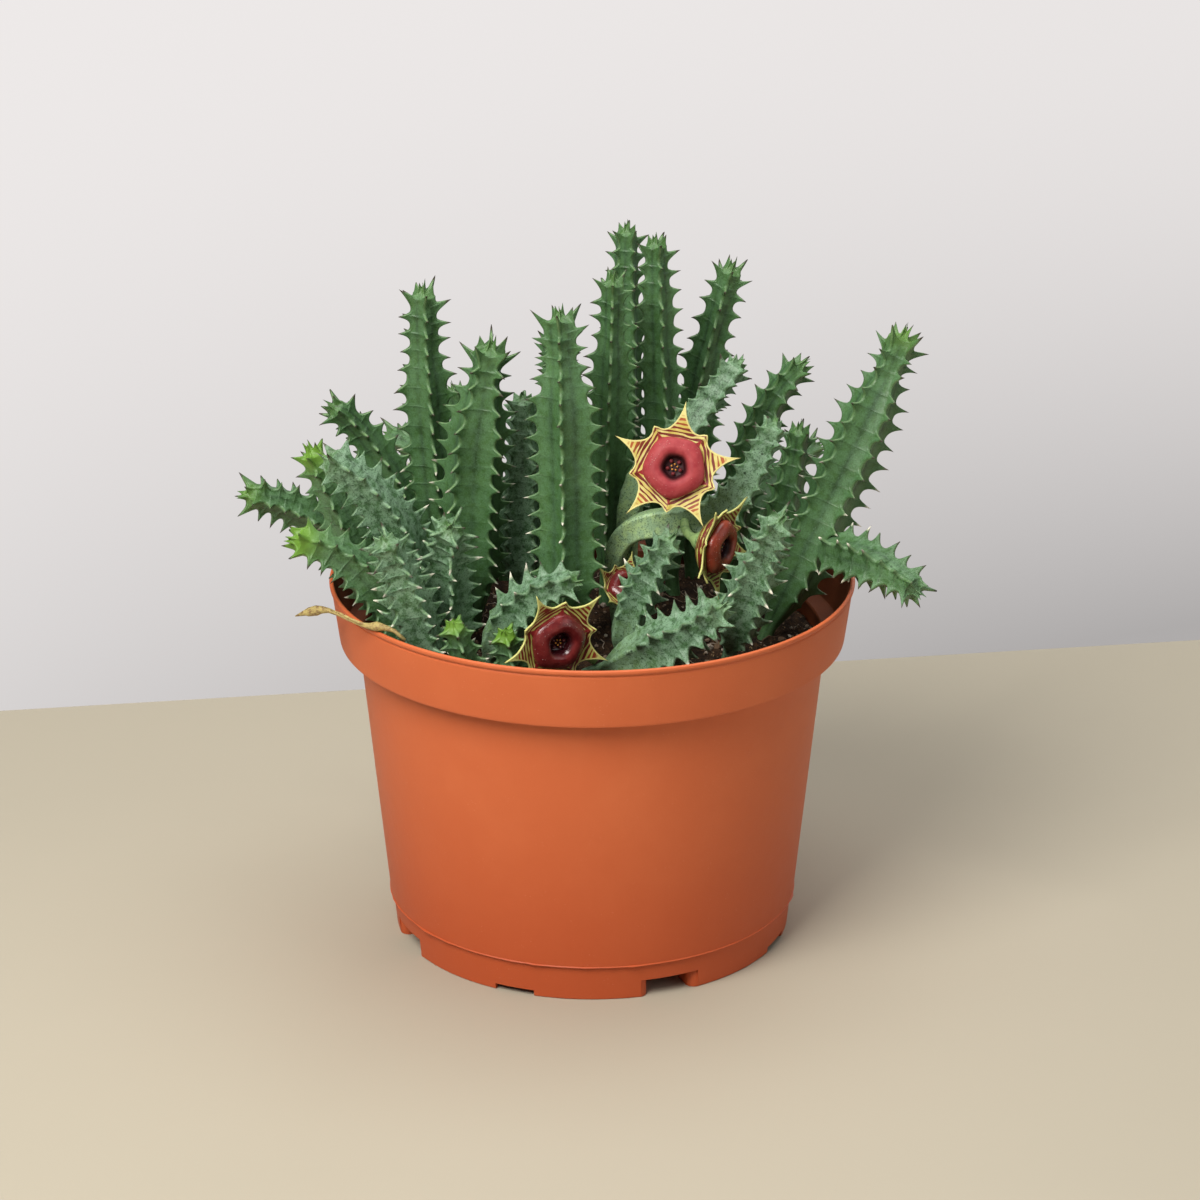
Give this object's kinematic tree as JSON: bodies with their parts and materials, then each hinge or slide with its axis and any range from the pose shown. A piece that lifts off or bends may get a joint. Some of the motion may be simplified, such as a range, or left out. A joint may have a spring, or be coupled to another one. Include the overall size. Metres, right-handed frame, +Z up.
{
  "type": "potted succulent",
  "caption": "Clump of upright, toothed succulent stems with striped star flowers, in a round plastic nursery pot with a banded rim and raised feet.",
  "frame": {"origin": "centre of the pot's foot, on the surface that it stands on", "axes": "+Z up, -Y towards the side with the open flowers, +X to the right seen from there"},
  "size_m": [0.2015, 0.1611, 0.2049],
  "materials": {
    "pot_plastic": "matte moulded plastic in terracotta orange",
    "soil": "dark crumbly peat compost with root fibres and pale grit",
    "green_stem": "waxy mid-green succulent skin with dark tooth tips",
    "frosted_stem": "dull blue-green bloom over the skin, with small dark pits",
    "fresh_stem": "young skin that turns bright yellow-green at the tip",
    "petal": "pale yellow flesh with dark red cross stripes",
    "flower_ring": "glossy dark red raised ring with fine bumps",
    "dry_stalk": "withered straw-coloured stalk and bud"
  },
  "bodies": {
    "root": {"dry_bud": "dry_stalk", "flower_deep_corolla": "petal", "flower_deep_ring": "flower_ring", "flower_front_corolla": "petal", "flower_front_ring": "flower_ring", "flower_high_corolla": "petal", "flower_high_ring": "flower_ring", "flower_side_corolla": "petal", "flower_side_ring": "flower_ring", "offset_front": "fresh_stem", "offset_left": "fresh_stem", "pot": "pot_plastic", "soil": "soil", "stem_arm_high": "frosted_stem", "stem_arm_low": "frosted_stem", "stem_back_right": "green_stem", "stem_back_tall": "green_stem", "stem_behind_broad": "frosted_stem", "stem_broad_left": "green_stem", "stem_centre": "green_stem", "stem_far_left": "green_stem", "stem_front_leaning": "frosted_stem", "stem_front_left": "frosted_stem", "stem_front_low": "frosted_stem", "stem_front_middle": "frosted_stem", "stem_inner_tall": "green_stem", "stem_left_bright": "fresh_stem", "stem_left_high": "frosted_stem", "stem_left_low": "fresh_stem", "stem_leftmost": "fresh_stem", "stem_mid_tall": "green_stem", "stem_rear_left": "green_stem", "stem_rear_low": "fresh_stem", "stem_rear_middle": "green_stem", "stem_rear_outer": "green_stem", "stem_rear_right": "frosted_stem", "stem_rear_upright": "green_stem", "stem_right_back": "green_stem", "stem_right_front": "frosted_stem", "stem_right_shade": "green_stem", "stem_right_tall": "green_stem", "stem_stub": "frosted_stem", "stem_tall_left": "green_stem"}
  },
  "joints": []
}
